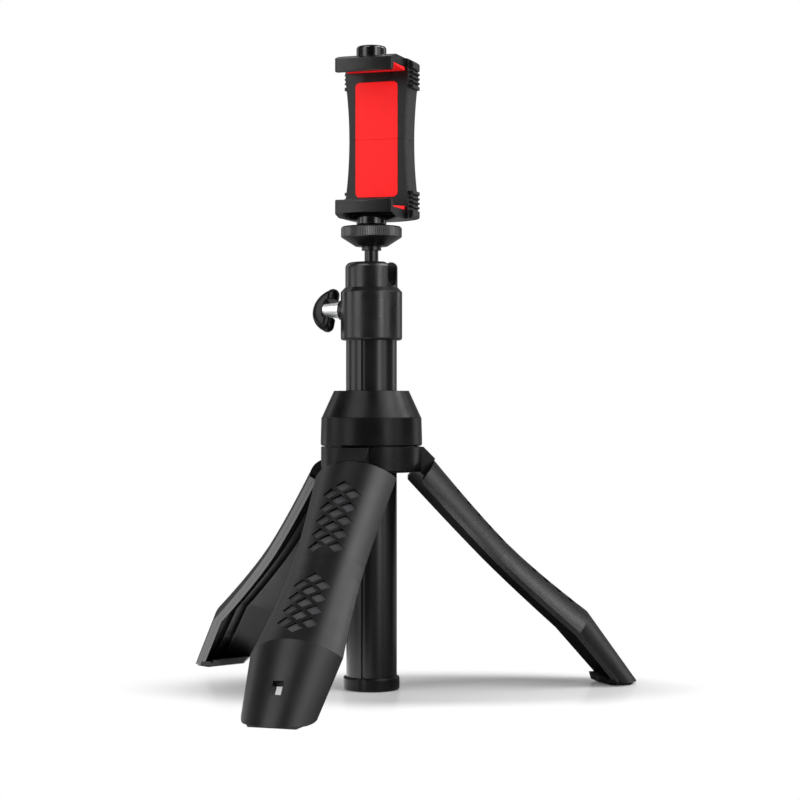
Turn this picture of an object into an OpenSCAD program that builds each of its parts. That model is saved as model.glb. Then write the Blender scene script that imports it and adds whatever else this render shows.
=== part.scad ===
// Hand grip tripod with a ball head and a sprung phone clamp.
// Lengths in millimetres, +Z up. The origin is on the column axis at the floor,
// and the phone faces -Y. The legs are drawn spread, as the tripod stands.

/* [Column] */
// Outside diameter of the centre column
column_d = 24.2; // [23.6:0.1:24.6]
// Wall of the centre column
column_wall = 2; // [1.7:0.1:2.4]
// Width of the key groove that runs down the column
groove_w = 1.75; // [1.4:0.05:2.2]
// Depth of the key groove
groove_deep = 1; // [0.8:0.05:1.2]
// Diameter of the cap on the foot of the column
foot_d = 26.8; // [25.8:0.1:27]
// Height of the foot cap
foot_h = 6.4; // [5:0.1:8]
// Free length of column between the lock collar and the head
column_reach = 24; // [20:0.5:28]

/* [Hub and lock collar] */
// Diameter of the hub
hub_d = 48; // [47:0.1:49]
// Height of the hub
hub_h = 11.9; // [11:0.1:13]
// Height of the underside of the hub above the floor
hub_z = 103.5; // [98:0.5:108]
// Seam between the hub and the collar
seam = 0.5; // [0.4:0.05:0.8]
// Diameter at the foot of the lock collar
collar_d = 48.3; // [47.6:0.1:49.4]
// Diameter at the top of the lock collar
collar_top_d = 35.7; // [34:0.1:37]
// Height of the straight band of the collar
collar_band_h = 13.6; // [12:0.1:15]
// Height of the cone of the collar
collar_cone_h = 12.5; // [11.5:0.1:14]

/* [Legs] */
// Angle that the legs spread to, from folded
leg_spread = 45; // [42:0.5:47]
// Distance of the hinge pin inside the hub's outer wall
pin_inset = 6.4; // [6.2:0.05:6.6]
// Depth of the hinge pin below the top of the hub
pin_drop = 2.2; // [1.9:0.05:2.6]
// Diameter of the hinge pins
pin_d = 3; // [2.5:0.1:3.2]
// Radius of a folded leg at its top
leg_top_r = 23.5; // [23.2:0.1:23.8]
// Radius of a folded leg at its waist
leg_waist_r = 20.4; // [20.2:0.1:21]
// Radius of a folded leg at its knee
leg_knee_r = 25; // [24:0.1:26]
// Length of a leg from its top down to the waist
leg_upper = 54; // [50:0.5:58]
// Length of a leg from the waist down to the knee
leg_lower = 52; // [48:0.5:56]
// Angle at which the boot draws in below the knee
boot_draft = 8.7; // [7:0.1:10]
// Wall of the outer cover of a leg
cover_wall = 2.2; // [2:0.05:2.4]
// Wall of a whole leg, cover and frame together
leg_wall = 4; // [3.8:0.05:4.2]
// Thickness of the rubber under the foot
pad_t = 1.2; // [1:0.1:1.6]
// Width of the hinge tongue of a leg
tongue_w = 14; // [12:0.1:14.6]

/* [Leg pattern] */
// Half width of a diamond pocket
gem_w = 4; // [3:0.1:4.2]
// Half height of a diamond pocket
gem_h = 3; // [2.4:0.1:3.2]
// Pitch of the diamond pockets along the leg
gem_pitch = 7.7; // [7:0.1:8]
// Depth of a diamond pocket
gem_deep = 1.1; // [0.8:0.05:1.6]
// Width of the square hole in the boot
eye_w = 5.1; // [4.5:0.1:6]
// Height of the square hole in the boot
eye_h = 6.5; // [5.5:0.1:7]

/* [Ball head] */
// Diameter of the head sleeve
sleeve_d = 29.3; // [29:0.1:30]
// Height of the head sleeve, with its ring
sleeve_h = 25; // [24:0.1:27]
// Diameter of the ball socket
socket_d = 24.9; // [24.4:0.1:25.1]
// Height of the socket above the sleeve
socket_rise = 12.1; // [11.5:0.1:13]
// Diameter of the ball
ball_d = 16.8; // [16.4:0.1:17]
// Depth of the ball's centre below the rim of the socket
ball_sink = 7.6; // [7.3:0.05:8]
// Diameter of the stem on the ball
stem_d = 6.6; // [6.4:0.1:6.8]
// Length of stem between the socket and its collar
stem_rise = 5.7; // [5.6:0.1:7]
// Diameter of the camera thread
thread_d = 6.35; // [6:0.05:6.6]
// Diameter of the lock wheel
wheel_d = 28.7; // [27:0.1:30]
// Height of the rim of the lock wheel
wheel_rim_h = 5; // [4:0.1:6]
// Height of the cone under the lock wheel
wheel_cone_h = 4.1; // [3.6:0.1:5]
// Height of the clamp screw above the foot of the sleeve
screw_rise = 14.5; // [14:0.1:15]
// Diameter of the bright shank of the clamp screw
shank_d = 8; // [7.2:0.1:8.6]
// Length of the wing on the clamp screw
wing_len = 23; // [21:0.1:25]
// Thickness of the wing
wing_t = 5.4; // [4.8:0.1:6]
// Diameter of the two lobes of the wing
lobe_d = 6.3; // [6:0.1:7]
// Angle of the wing from upright
wing_turn = 27; // [0:1:90]

/* [Phone clamp] */
// Height of the closed clamp, from crown to crown
clamp_h = 79.6; // [77:0.1:84]
// Travel of the upper jaw
jaw_travel = 26; // [22:0.5:26]
// Width of the jaws
jaw_w = 28.8; // [27:0.1:30]
// Reach of the jaws in front of the clamp's axis
jaw_reach = 12.4; // [11.5:0.1:14]
// Depth of the hook on the lip of each jaw
hook_deep = 2.1; // [1.5:0.1:2.6]
// Thickness of the lip of each jaw, front to back
lip_t = 2.6; // [2.2:0.1:3.2]
// Bow of the front face of each jaw
lip_bow = 0.6; // [0.3:0.05:0.9]
// Thickness of a jaw pad at the lip
pad_thin = 0.6; // [0.5:0.05:0.9]
// Thickness of a jaw pad at the plate
pad_thick = 1.8; // [1.4:0.05:2]
// Distance of the front plate behind the clamp's axis
plate_y = 7.3; // [7.3:0.1:8]
// Depth of the body behind the front plate
body_deep = 15.7; // [15.4:0.1:17]
// Width of the body at its waist
waist_w = 27.8; // [27.2:0.1:28.6]
// Width of the body at its ends
end_w = 31.8; // [31:0.1:32.6]
// Width over the grip ribs
rib_w = 35; // [34:0.1:36]
// Width of the coloured panel
panel_w = 21.3; // [18:0.1:23]
// Height of the coloured panel
panel_h = 55.2; // [50:0.1:57]
// Diameter of the threaded bosses
boss_d = 14.3; // [13.5:0.1:15]
// Height of the upper boss above the crown
boss_rise = 3.6; // [3:0.1:5]
// Length of the neck between the wheel and the clamp
neck_h = 2.4; // [2:0.1:4]

/* [Hidden] */
$fn = 64;

// Clearances
run = 0.1;     // a running or sliding fit, on the radius
seat = 0.05;   // a fixed fit, on the radius
gap = 0.3;     // between parts that pass each other
cut = 1;       // overrun of a cutting tool
lap = 0.2;     // overlap of two forms of one piece

// Heights, from the floor up
hub_top_z = hub_z + hub_h;
collar_z = hub_top_z + seam;
collar_neck_z = collar_z + collar_band_h;
collar_top_z = collar_neck_z + collar_cone_h;
sleeve_z = collar_top_z + column_reach;
sleeve_top_z = sleeve_z + sleeve_h;
socket_top_z = sleeve_top_z + socket_rise;
ball_z = socket_top_z - ball_sink;
screw_z = sleeve_z + screw_rise;
stem_top_z = socket_top_z + stem_rise;
stem_collar_h = 1.9;
wheel_z = stem_top_z + stem_collar_h;
wheel_edge = 0.3;
wheel_top_z = wheel_z + wheel_cone_h + wheel_rim_h + wheel_edge;
neck_z = wheel_top_z + 2 * run;
clamp_mid_z = neck_z + neck_h + clamp_h / 2;

// Hinge of the legs
pin_r = hub_d / 2 - pin_inset;
pin_z = hub_top_z - pin_drop;
pin_len = 24;
knuckle_r = 3.8;
leg_angles = [-90, 30, 150];
leg_gap = 0.6;          // between the rims of two folded legs
leg_drop = 1.6;         // top of the shell below the hub when folded
leg_curve = 1.6;        // power of the swelling from the waist
leg_steps = 6;
leg_top_z = hub_z - leg_drop;
leg_waist_z = leg_top_z - leg_upper;
leg_knee_z = leg_waist_z - leg_lower;
boot_end_z = leg_knee_z - leg_lower;
rim_corner = 5;         // rounding of the rim at the top of the shell
far = 3 * hub_d;        // reach of a cutting wedge

// Hub and column
bore_run = 0.15;
core_d = 29.8;
core_rise = 2.5;
core_top_z = collar_neck_z + core_rise;
tongue_run = 0.2;
slot_w = tongue_w + 2 * tongue_run;
slot_floor_r = pin_r - knuckle_r - gap;
collar_wall = 1.55;     // wall of the collar round the keepers
collar_room_r = collar_d / 2 - collar_wall;
keeper_t = 1.8;
keeper_out_r = collar_room_r - 2 * gap;
keeper_w = keeper_out_r - core_d / 2;
keeper_screw_r = core_d / 2 + keeper_w / 2;
keeper_head_share = 0.6;
keeper_screw_share = 0.34;
keeper_head_d = keeper_w * keeper_head_share;
keeper_screw_d = keeper_w * keeper_screw_share;
keeper_head_h = 1;
keeper_screw_len = 7;
keeper_head_room = 0.5;
collar_room_h = keeper_t + keeper_head_h + keeper_head_room - seam;
collar_flare = 0.3;
key_w = groove_w - 2 * run;
collet_h = 7.4;
collet_top_wall = 1.2;
collet_slits = 6;
slit_w = 0.8;
tube_seat_h = 7;        // length of tube inside the head sleeve
tube_rib_w = 4;
foot_dent_w = 4;
foot_dent_deep = 0.5;

// Head
sleeve_ring_h = 2.1;
ring_spigot_h = 2.3;
sleeve_room_r = 13.4;
sleeve_floor_h = 1.5;
socket_round = 2.8;
ball_run = 0.1;
lip_rise = 4.9;         // height of the lip that holds the ball down
slot_clear = 0.4;
screw_d = 5;
tip_r = 6.3;            // reach of the point of the clamp screw
boss_out = 15.7;
clamp_boss_d = 10.4;
clamp_boss_draft = 1;
plug_groove_r = 5.7;
plug_half_h = 3;
plug_top_z = screw_z + plug_half_h;
cup_rise = 5;
stem_collar_d = 9.4;
wheel_base_d = 15.3;
stud_into_clamp = 6.2;
thread_hole_d = thread_d + 2 * seat;

// Clamp, measured from its middle
half_h = clamp_h / 2;
split = 0.04;           // half of the gap between the two halves
jaw_t = 7.55;           // from the crown to the gripping face at the plate
jaw_gap_z = half_h - jaw_t;
jaw_round = 1;          // rounding of the edges of a jaw
waist_end = 10.8;       // end of the drawn in waist below the crown
grip_half = half_h - waist_end;
plate_t = 3.2;
back_y = plate_y + body_deep;
cover_y = plate_y + plate_t + seat;
crown_y = 6;
crown_fall = 3.5;       // fall of the crown at the lip
crown_side_fall = 1.4;  // fall of the crown at the side of the jaw
body_corner = 3;
end_corner = 5;
back_wall = 2;
end_round = 2.8;        // rounding of the shoulders of a cover
rib_pitch = 2.15;
rib_mouth = 1.45;       // width of a groove between the ribs at its mouth
rib_floor = 0.75;       // and at its floor
rib_deep = 1.5;
rib_end = 13;           // first groove below the crown
rib_first_z = half_h - rib_end;
rib_count = 4;
panel_proud = 0.3;
panel_t = 1.3;
panel_round = 2.2;
lug_h = 5;
lug_deep = 9;
end_lug_drop = 8.3;
end_lug_z = half_h - end_lug_drop;
end_lug_h = 5.6;
lug_clear = 0.4;
lug_half_w = waist_w / 2 - back_wall - lug_clear;
rod_x = 9.1;
rod_y = 14.8;
rod_d = 3.2;
rod_short = 0.4;
rod_seat_deep = 1.6;
rod_top_z = jaw_travel + lug_h - rod_short;
rod_foot_z = end_lug_z + rod_seat_deep;
spring_x = 3.7;
spring_d = 4.2;
spring_wire = 0.5;
spring_hole_d = spring_d + 2 * gap;
spring_well = 4.4;
hook_pin_d = 1.6;
hook_pin_deep = 1.6;
hook_pin_rise = 2.6;
hook_pin_z = lug_h - hook_pin_deep;
hook_pin_foot_z = end_lug_z + hook_pin_rise;
hook_pin_len = 14;
cover_screw_d = 2.4;
cover_head_d = 4.4;
cover_head_h = 1.4;
cover_screw_x = 9;
cover_screw_drop = 5.2;
cover_screw_z = half_h - cover_screw_drop;
cover_screw_len = back_y - rod_y - rod_d / 2 - lug_clear;
boss_in = 4.4;

// Radius of a folded leg at height z
function crown_r(z) =
    z > leg_waist_z
        ? leg_waist_r + (leg_top_r - leg_waist_r)
            * pow((z - leg_waist_z) / leg_upper, leg_curve)
    : z > leg_knee_z
        ? leg_waist_r + (leg_knee_r - leg_waist_r)
            * pow((leg_waist_z - z) / leg_lower, leg_curve)
    : leg_knee_r - (leg_knee_z - z) * tan(boot_draft);

// Heights of the rings of a leg, from its top to the end of the boot
leg_zs = concat(
    [for (i = [0:leg_steps]) leg_top_z - leg_upper * i / leg_steps],
    [for (i = [1:leg_steps]) leg_waist_z - leg_lower * i / leg_steps],
    [boot_end_z]);

function reversed(list) = [for (i = [len(list) - 1:-1:0]) list[i]];

// Radius of a big circle from its half chord and its rise
function bow_r(half_chord, rise) =
    (half_chord * half_chord + rise * rise) / (2 * rise);

// Fillet cutter for the corner at the origin of material in +X +Y, along Z
module corner_cutter(r, length)
    translate([0, 0, -length / 2])
        difference() {
            translate([-cut, -cut, 0]) cube([r + cut, r + cut, length]);
            translate([r, r, -cut]) cylinder(r = r, h = length + 2 * cut);
        }

// Moves a folded leg about its hinge to where it stands
module stand(angle)
    rotate([0, 0, angle])
        translate([pin_r, 0, pin_z])
            rotate([0, -leg_spread, 0])
                translate([-pin_r, 0, -pin_z])
                    children();

// Turned shell of a folded leg between two depths below its surface
module leg_shell(out, inner)
    rotate_extrude()
        polygon(concat(
            [for (z = leg_zs) [crown_r(z) - out, z]],
            [for (z = reversed(leg_zs)) [crown_r(z) - inner, z]]));

// Solid core of a folded leg below its surface
module leg_core(out)
    rotate_extrude()
        polygon(concat(
            [for (z = leg_zs) [crown_r(z) - out, z]],
            [[0, boot_end_z], [0, leg_top_z]]));

// Third of a turn that one leg fills, less half the gap at each side
module leg_sector(inset)
    translate([inset / sin(60), 0, boot_end_z - cut])
        linear_extrude(leg_top_z - boot_end_z + 2 * cut)
            polygon([[0, 0], [far * cos(60), far * sin(60)],
                [far, 0], [far * cos(60), -far * sin(60)]]);

// Rounds the upper corners of the rims of a shell
module rim_rounding()
    translate([leg_waist_r / 2 - leg_wall / 2, 0, leg_top_z])
        rotate([-90, 0, 0])
            corner_cutter(rim_corner, far);

// Square hole through the boot
eye_drop = 23.5;
eye_z = leg_knee_z - eye_drop;
module boot_eye()
    translate([0, -eye_w / 2, eye_z - eye_h / 2])
        cube([far, eye_w, eye_h]);

// One diamond pocket at a height and an angle round the leg
module gem(z, turn)
    rotate([0, 0, turn])
        translate([crown_r(z) - gem_deep, 0, z])
            rotate([0, 90, 0])
                linear_extrude(gem_deep * 4)
                    polygon([[gem_h, 0], [0, gem_w], [-gem_h, 0], [0, -gem_w]]);

gem_turn = 14.5;
gems_rise = 39.5;       // first pocket above the waist
gems_fall = 14.2;       // first pocket below the waist
gems_upper_z = leg_waist_z + gems_rise;
gems_lower_z = leg_waist_z - gems_fall;
gems_mid_rows = 5;

// Two fields of pockets: three staggered rows each
module gem_fields() {
    for (k = [0:gems_mid_rows - 1]) {
        gem(gems_upper_z - k * gem_pitch, 0);
        gem(gems_lower_z - k * gem_pitch, 0);
        for (side = [-1, 1])
            gem(gems_upper_z - (k + 0.5) * gem_pitch, side * gem_turn);
    }
    for (k = [0:gems_mid_rows - 2], side = [-1, 1])
        gem(gems_lower_z - (k + 0.5) * gem_pitch, side * gem_turn);
}

// Everything of a leg that lies above the rubber of its foot
module above_pad()
    translate([-far, -far, pad_t])
        cube([2 * far, 2 * far, 2 * far]);

// Where the rim of a standing leg meets the foot, and how far it leans there
boot_slope = tan(boot_draft);
boot_cone_r = leg_knee_r - leg_knee_z * boot_slope;
boot_fall = cos(leg_spread) + boot_slope * cos(60) * sin(leg_spread);
boot_rim_z = (pad_t + pin_z * (cos(leg_spread) - 1)
    + (pin_r - boot_cone_r * cos(60)) * sin(leg_spread)) / boot_fall;
boot_half_w = (boot_cone_r + boot_rim_z * boot_slope) * sin(60);
boot_lean = atan(boot_slope * sin(60) / boot_fall);
boot_round = 4;

// Rounds the two lower corners of a standing boot, for a leg along +X
module boot_rounding()
    for (side = [0, 1])
        mirror([0, side, 0])
            translate([foot_in - far / 2, boot_half_w - boot_round * tan(45 - boot_lean / 2),
                    pad_t + boot_round])
                rotate([90, 0, 90])
                    linear_extrude(far)
                        difference() {
                            polygon([[0, 0], [0, -boot_round - cut],
                                [2 * boot_round, -boot_round - cut],
                                [2 * boot_round, -boot_round * sin(boot_lean)],
                                [boot_round * cos(boot_lean), -boot_round * sin(boot_lean)]]);
                            circle(r = boot_round);
                        }

module leg_cover(angle)
    color("#232325")
        difference() {
            intersection() {
                stand(angle)
                    difference() {
                        intersection() {
                            leg_shell(0, cover_wall);
                            leg_sector(leg_gap / 2);
                        }
                        rim_rounding();
                        gem_fields();
                        boot_eye();
                    }
                above_pad();
            }
            rotate([0, 0, angle]) boot_rounding();
        }

// Side outline of the hinge tongue, folded: x from the pin, z from the pin
tongue_face_x = 6;
tongue_face_z = -3;
tongue_foot_z = -14;
tongue_back_x = -knuckle_r;
tongue_toe = 4;
tongue_heel = 2;
module tongue()
    translate([pin_r, 0, pin_z])
        rotate([90, 0, 0])
            linear_extrude(tongue_w, center = true)
                union() {
                    circle(r = knuckle_r);
                    polygon([[0, 0], [knuckle_r, 0],
                        [tongue_face_x, tongue_face_z],
                        [tongue_face_x, leg_top_z - pin_z + gap],
                        [leg_top_r - cover_wall - pin_r - lap, leg_top_z - pin_z - gap],
                        [leg_top_r - cover_wall - pin_r - 2 * lap, tongue_foot_z],
                        [leg_top_r - leg_wall - pin_r - lap, tongue_foot_z - tongue_toe],
                        [tongue_back_x, tongue_foot_z + tongue_heel],
                        [tongue_back_x, 0]]);
                }

foot_wall_t = 2.2;
rib_y = 3.2;
rib_t = 1.1;
rib_h = 1.8;

// Place of the foot, from the column axis, where the leg stands
foot_in = 113.4;
foot_hook_t = 2.9;
foot_hook_h = 4.2;
foot_reach = 13.2;
foot_w = 22;

module leg_frame(angle)
    color("#1c1c1e")
        difference() {
            union() {
                intersection() {
                    stand(angle)
                        difference() {
                            intersection() {
                                leg_shell(cover_wall + seat, leg_wall);
                                leg_sector(leg_gap / 2);
                            }
                            rim_rounding();
                        }
                    above_pad();
                }
                intersection() {
                    stand(angle)
                        intersection() {
                            leg_shell(leg_wall - lap, leg_wall + rib_h);
                            for (side = [-1, 1])
                                translate([0, side * rib_y - rib_t / 2, boot_end_z])
                                    cube([far, rib_t, leg_top_z - boot_end_z - rim_corner]);
                        }
                    above_pad();
                }
                intersection() {
                    stand(angle)
                        intersection() {
                            leg_core(cover_wall + seat);
                            leg_sector(leg_gap / 2);
                        }
                    rotate([0, 0, angle])
                        translate([foot_in, -foot_w, pad_t])
                            cube([far, 2 * foot_w, foot_wall_t]);
                }
                stand(angle)
                    difference() {
                        tongue();
                        leg_shell(-cut, cover_wall + seat);
                    }
            }
            stand(angle)
                translate([pin_r, 0, pin_z])
                    rotate([90, 0, 0])
                        cylinder(d = pin_d + 2 * seat, h = tongue_w + 2 * cut, center = true);
            stand(angle) boot_eye();
            rotate([0, 0, angle]) boot_rounding();
        }

module foot_pad(angle)
    color("#101011")
        intersection() {
            rotate([0, 0, angle])
                translate([foot_in, 0, 0])
                    rotate([90, 0, 0])
                        linear_extrude(foot_w, center = true)
                            polygon([[-foot_hook_t, foot_hook_h], [-seat, foot_hook_h],
                                [-seat, pad_t], [foot_reach, pad_t],
                                [foot_reach - pad_t, 0], [foot_hook_t, 0],
                                [-foot_hook_t, pad_t]]);
            stand(angle) leg_sector(leg_gap / 2);
        }

module hinge_pins()
    color("#b9bcc0")
        for (angle = leg_angles)
            rotate([0, 0, angle])
                translate([pin_r, 0, pin_z])
                    rotate([90, 0, 0])
                        cylinder(d = pin_d, h = pin_len, center = true);

hub_round = 1;
module hub_body()
    color("#202022")
        difference() {
            union() {
                rotate_extrude()
                    polygon([[column_d / 2 + bore_run, hub_z],
                        [hub_d / 2 - hub_round, hub_z],
                        [hub_d / 2 - hub_round * 0.3, hub_z + hub_round * 0.3],
                        [hub_d / 2, hub_z + hub_round],
                        [hub_d / 2, hub_top_z],
                        [core_d / 2, hub_top_z],
                        [core_d / 2, core_top_z],
                        [column_d / 2 + bore_run, core_top_z]]);
                translate([-key_w / 2, -column_d / 2 - bore_run - lap, hub_z])
                    cube([key_w, groove_deep + bore_run, hub_h]);
            }
            for (angle = leg_angles)
                rotate([0, 0, angle]) {
                    translate([slot_floor_r, -slot_w / 2, hub_z - cut])
                        cube([hub_d, slot_w, pin_z + knuckle_r + gap - hub_z + cut]);
                    translate([pin_r, 0, pin_z])
                        rotate([90, 0, 0])
                            cylinder(d = pin_d, h = pin_len, center = true);
                    translate([pin_r - pin_d / 2, -pin_len / 2, pin_z])
                        cube([pin_d, pin_len, hub_h]);
                }
            for (angle = leg_angles)
                rotate([0, 0, angle + 60])
                    translate([keeper_screw_r, 0, hub_top_z - keeper_screw_len + keeper_t])
                        cylinder(d = keeper_screw_d, h = keeper_screw_len);
        }

module pin_keepers()
    color("#8d9094")
        difference() {
            rotate_extrude()
                translate([core_d / 2 + seat, hub_top_z])
                    square([keeper_out_r - core_d / 2 - seat, keeper_t]);
            for (angle = leg_angles)
                rotate([0, 0, angle])
                    translate([0, -slot_w / 2 - gap, hub_z])
                        cube([hub_d, slot_w + 2 * gap, 2 * hub_h]);
            for (angle = leg_angles)
                rotate([0, 0, angle + 60])
                    translate([keeper_screw_r, 0, hub_top_z - cut])
                        cylinder(d = keeper_screw_d, h = keeper_t + 2 * cut);
        }

module keeper_screws()
    color("#c4c7ca")
        for (angle = leg_angles)
            rotate([0, 0, angle + 60])
                translate([keeper_screw_r, 0, hub_top_z + keeper_t]) {
                    cylinder(d = keeper_head_d, h = keeper_head_h);
                    translate([0, 0, -keeper_screw_len])
                        cylinder(d = keeper_screw_d, h = keeper_screw_len + lap);
                }

module lock_collar()
    color("#1d1d1f")
        rotate_extrude()
            polygon([[core_d / 2 + bore_run, collar_z + collar_room_h],
                [collar_room_r, collar_z + collar_room_h],
                [collar_room_r, collar_z],
                [collar_d / 2 - 2 * collar_flare, collar_z],
                [collar_d / 2, collar_z + 2 * collar_flare],
                [collar_d / 2, collar_z + collar_band_h * 0.2],
                [collar_d / 2 - collar_flare, collar_neck_z - collar_flare],
                [collar_d / 2 - 2 * collar_flare, collar_neck_z],
                [collar_top_d / 2, collar_top_z],
                [column_d / 2 + gap, collar_top_z],
                [column_d / 2 + gap, core_top_z + collet_h + gap],
                [column_d / 2 + collet_top_wall + gap + lap, core_top_z + collet_h + gap],
                [core_d / 2 + bore_run, core_top_z]]);

module grip_collet()
    color("#d8d6cf")
        difference() {
            rotate_extrude()
                polygon([[column_d / 2 + run, core_top_z],
                    [core_d / 2 - gap, core_top_z],
                    [column_d / 2 + collet_top_wall, core_top_z + collet_h],
                    [column_d / 2 + run, core_top_z + collet_h]]);
            for (k = [0:collet_slits - 1])
                rotate([0, 0, k * 360 / collet_slits + 30])
                    translate([0, -slit_w / 2, core_top_z + (k == 0 ? -cut : collet_h / 3)])
                        cube([core_d, slit_w, collet_h + cut]);
        }

foot_seat_deep = 1.4;
tube_foot_z = foot_h - foot_seat_deep;
tube_top_z = sleeve_z + tube_seat_h;
module column_tube()
    color("#2b2b2e")
        difference() {
            translate([0, 0, tube_foot_z])
                cylinder(d = column_d, h = tube_top_z - tube_foot_z);
            difference() {
                translate([0, 0, tube_foot_z - cut])
                    cylinder(d = column_d - 2 * column_wall, h = tube_top_z + 2 * cut);
                translate([-tube_rib_w / 2, -column_d / 2, tube_foot_z])
                    cube([tube_rib_w, column_wall + groove_deep, tube_top_z]);
            }
            translate([-groove_w / 2, -column_d / 2 - cut, tube_foot_z - cut])
                cube([groove_w, groove_deep + cut, tube_top_z]);
        }

foot_edge = 0.9;
foot_spigot_h = 7;
foot_core_d = column_d - 2 * column_wall - 2 * seat;
module column_foot()
    color("#151516")
        difference() {
            rotate_extrude()
                polygon([[0, 0], [foot_d / 2 - foot_edge, 0],
                    [foot_d / 2 - foot_edge * 0.3, foot_edge * 0.3],
                    [foot_d / 2, foot_edge],
                    [foot_d / 2, foot_h - foot_edge],
                    [foot_d / 2 - foot_edge * 0.3, foot_h - foot_edge * 0.3],
                    [foot_d / 2 - foot_edge, foot_h],
                    [column_d / 2 + seat, foot_h],
                    [column_d / 2 + seat, tube_foot_z - seat],
                    [foot_core_d / 2, tube_foot_z - seat],
                    [foot_core_d / 2, tube_foot_z + foot_spigot_h],
                    [0, tube_foot_z + foot_spigot_h]]);
            translate([-tube_rib_w / 2 - seat, -column_d / 2, tube_foot_z - seat])
                cube([tube_rib_w + 2 * seat, column_wall + groove_deep + seat, hub_z]);
            translate([0, -foot_d / 2 - foot_dent_w + foot_dent_deep, -cut])
                cylinder(r = foot_dent_w, h = foot_h + 2 * cut);
        }

sleeve_edge = 1;
sleeve_body_h = sleeve_h - sleeve_ring_h - seat;
module head_sleeve()
    color("#2a2a2d")
        difference() {
            union() {
                translate([0, 0, sleeve_z])
                    rotate_extrude()
                        polygon([[column_d / 2 + seat, 0], [sleeve_d / 2 - sleeve_edge, 0],
                            [sleeve_d / 2 - sleeve_edge * 0.3, sleeve_edge * 0.3],
                            [sleeve_d / 2, sleeve_edge],
                            [sleeve_d / 2, sleeve_body_h],
                            [sleeve_room_r, sleeve_body_h],
                            [sleeve_room_r, tube_seat_h + sleeve_floor_h],
                            [column_d / 2 - column_wall, tube_seat_h + sleeve_floor_h],
                            [column_d / 2 - column_wall, tube_seat_h + seat],
                            [column_d / 2 + seat, tube_seat_h + seat]]);
                translate([-boss_out, 0, screw_z])
                    rotate([0, 90, 0])
                        cylinder(d1 = clamp_boss_d - clamp_boss_draft, d2 = clamp_boss_d,
                            h = boss_out - sleeve_room_r - run);
            }
            translate([-boss_out - cut, 0, screw_z])
                rotate([0, 90, 0])
                    cylinder(d = screw_d + 2 * seat, h = boss_out);
        }

module sleeve_ring()
    color("#2a2a2d")
        translate([0, 0, sleeve_top_z])
            rotate_extrude()
                polygon([[socket_d / 2 + run, 0], [socket_d / 2 + 3 * run, 0],
                    [sleeve_d / 2, -sleeve_ring_h],
                    [sleeve_room_r - seat, -sleeve_ring_h],
                    [sleeve_room_r - seat, -sleeve_ring_h - ring_spigot_h],
                    [socket_d / 2 + run, -sleeve_ring_h - ring_spigot_h]]);

flange_top_z = sleeve_top_z - sleeve_ring_h - ring_spigot_h - run;
skirt_z = sleeve_z + tube_seat_h + sleeve_floor_h + run;
skirt_r = sleeve_room_r - run;
room_r = ball_d / 2 + ball_run;
lip_turn = asin(lip_rise / room_r);
lip_steps = 4;
window_room = 1;
window_h = screw_d + 2 * window_room;
notch_turn = -14;       // where the side notch looks, from +X

module head_socket()
    color("#2c2c2f")
        difference() {
            rotate_extrude()
                polygon(concat(
                    [[room_r, skirt_z], [skirt_r, skirt_z], [skirt_r, flange_top_z],
                        [socket_d / 2, flange_top_z],
                        [socket_d / 2, socket_top_z - socket_round]],
                    [for (a = [15:15:90]) [
                        socket_d / 2 - socket_round * (1 - cos(a)),
                        socket_top_z - socket_round * (1 - sin(a))]],
                    [[room_r, socket_top_z]],
                    [for (k = [lip_steps:-1:0]) [
                        room_r * cos(lip_turn * k / lip_steps),
                        ball_z + room_r * sin(lip_turn * k / lip_steps)]]));
            rotate([0, 0, notch_turn]) {
                translate([0, 0, ball_z])
                    rotate([0, 90, 0]) cylinder(d = stem_d + 2 * slot_clear, h = socket_d);
                translate([0, -stem_d / 2 - slot_clear, ball_z])
                    cube([socket_d, stem_d + 2 * slot_clear, socket_d]);
            }
            rotate([0, 0, 75])
                rotate_extrude(angle = 210)
                    translate([0, screw_z - window_h / 2])
                        square([sleeve_d, window_h]);
        }

module ball_cup()
    color("#e4e2da")
        difference() {
            translate([0, 0, plug_top_z + run])
                cylinder(r = room_r - run, h = ball_z - cup_rise - plug_top_z - run);
            translate([0, 0, ball_z]) sphere(r = room_r);
        }

module lift_plug()
    color("#b3b6b9")
        rotate_extrude()
            polygon([[0, screw_z - plug_half_h], [room_r - run, screw_z - plug_half_h],
                [room_r - run, screw_z - (room_r - plug_groove_r)],
                [plug_groove_r, screw_z],
                [room_r - run, screw_z + (room_r - plug_groove_r)],
                [room_r - run, plug_top_z], [0, plug_top_z]]);

module ball_stud()
    color("#333336") {
        translate([0, 0, ball_z]) sphere(d = ball_d);
        translate([0, 0, ball_z]) cylinder(d = stem_d, h = stem_top_z - ball_z + lap);
        translate([0, 0, stem_top_z]) cylinder(d = stem_collar_d, h = stem_collar_h - run);
        translate([0, 0, stem_top_z])
            cylinder(d = thread_d, h = neck_z + stud_into_clamp - stem_top_z);
    }

module lock_wheel()
    color("#262629")
        translate([0, 0, wheel_z])
            rotate_extrude()
                polygon([[thread_hole_d / 2, 0], [wheel_base_d / 2, 0],
                    [wheel_d / 2 - wheel_edge, wheel_cone_h],
                    [wheel_d / 2, wheel_cone_h + wheel_edge],
                    [wheel_d / 2, wheel_cone_h + wheel_rim_h - wheel_edge],
                    [wheel_d / 2 - 2 * wheel_edge, wheel_cone_h + wheel_rim_h + wheel_edge],
                    [thread_hole_d / 2, wheel_cone_h + wheel_rim_h + wheel_edge]]);

// The clamp screw lies along the axis from the wing, at -X, to the lift plug
wing_face = 24;         // floor of the wing's recess
wing_end = 29.7;
shank_taper = 2;
shank_end_d = shank_d - shank_taper;
spigot_d = 4;
spigot_len = 3;
module along_screw()
    translate([0, 0, screw_z]) rotate([0, -90, 0]) children();

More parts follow.
